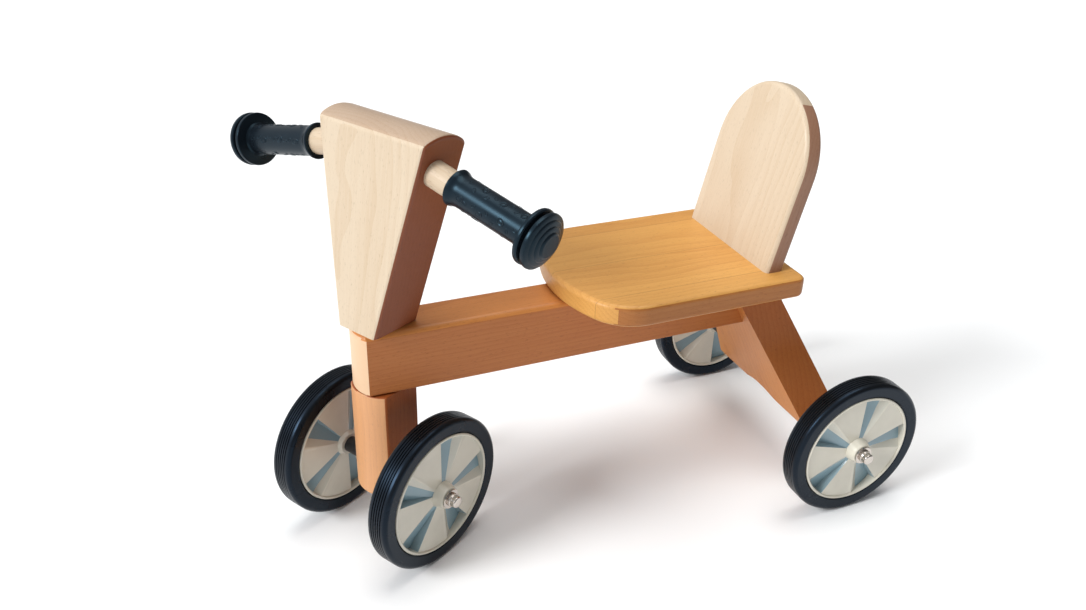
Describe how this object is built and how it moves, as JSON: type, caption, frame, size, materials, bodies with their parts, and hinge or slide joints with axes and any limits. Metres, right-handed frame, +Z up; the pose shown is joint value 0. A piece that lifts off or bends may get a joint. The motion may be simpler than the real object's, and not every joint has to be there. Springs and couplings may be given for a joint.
{
  "type": "four-wheel balance bike",
  "caption": "Wooden toddler ride-on with a steering head, rubber handle grips, a seat with a rounded backrest, and rubber-tyred plastic wheels, its steering turned to the left",
  "frame": {"origin": "on the ground, below the middle of the toy", "axes": "X points forward along the beam, Y to the rider's left, Z up"},
  "size_m": [0.586, 0.3137, 0.3898],
  "materials": {
    "wood_beech": "clear satin lacquer over pale beech",
    "wood_oiled": "clear satin lacquer over golden glued beech board",
    "wood_dark": "clear satin lacquer over red-brown steamed beech",
    "grip_rubber": "soft satin rubber with raised pebbles",
    "tyre_rubber": "ribbed tread and smooth side walls",
    "wheel_plastic": "moulded cream plastic",
    "nylon": "moulded black nylon",
    "zinc_steel": "bright zinc plating"
  },
  "bodies": {
    "frame": {"beam": "wood_oiled", "rear_leg": "wood_dark", "seat_board": "wood_oiled", "backrest": "wood_beech", "leg_bolts": "zinc_steel", "leg_bolt_nuts": "zinc_steel", "seat_screws": "zinc_steel", "backrest_screws": "zinc_steel", "steering_bush": "nylon", "glide_washer_upper": "nylon", "glide_washer_lower": "nylon", "rear_axle": "zinc_steel", "rear_spacers": "nylon", "rear_washers": "zinc_steel", "rear_axle_caps": "zinc_steel"},
    "steering": {"head_block": "wood_beech", "steering_column": "zinc_steel", "head_cross_pin": "wood_beech", "block_cross_pin": "wood_beech", "handle_dowel_left": "wood_beech", "handle_dowel_right": "wood_beech", "grip_left": "grip_rubber", "grip_right": "grip_rubber", "front_axle_block": "wood_dark", "front_axle": "zinc_steel", "front_spacers": "nylon", "front_washers": "zinc_steel", "front_axle_caps": "zinc_steel"},
    "wheel_front_left": {"wheel_disc_front_left": "wheel_plastic", "wheel_bush_front_left": "nylon", "tyre_front_left": "tyre_rubber"},
    "wheel_front_right": {"wheel_disc_front_right": "wheel_plastic", "wheel_bush_front_right": "nylon", "tyre_front_right": "tyre_rubber"},
    "wheel_rear_left": {"wheel_disc_rear_left": "wheel_plastic", "wheel_bush_rear_left": "nylon", "tyre_rear_left": "tyre_rubber"},
    "wheel_rear_right": {"wheel_disc_rear_right": "wheel_plastic", "wheel_bush_rear_right": "nylon", "tyre_rear_right": "tyre_rubber"}
  },
  "joints": [
    {"name": "steering_turn", "type": "hinge", "parent": "frame", "child": "steering", "pos_m": [0.19726, 0, 0.16], "axis": [0, 0, 1], "range_deg": [-90, 30]},
    {"name": "spin_front_left", "type": "hinge", "parent": "steering", "child": "wheel_front_left", "pos_m": [0.16776, 0.0511, 0.071], "axis": [-0.5, 0.866, 0], "continuous": true},
    {"name": "spin_front_right", "type": "hinge", "parent": "steering", "child": "wheel_front_right", "pos_m": [0.22676, -0.0511, 0.071], "axis": [-0.5, 0.866, 0], "continuous": true},
    {"name": "spin_rear_left", "type": "hinge", "parent": "frame", "child": "wheel_rear_left", "pos_m": [-0.22274, 0.1275, 0.071], "axis": [0, 1, 0], "continuous": true},
    {"name": "spin_rear_right", "type": "hinge", "parent": "frame", "child": "wheel_rear_right", "pos_m": [-0.22274, -0.1275, 0.071], "axis": [0, 1, 0], "continuous": true}
  ]
}
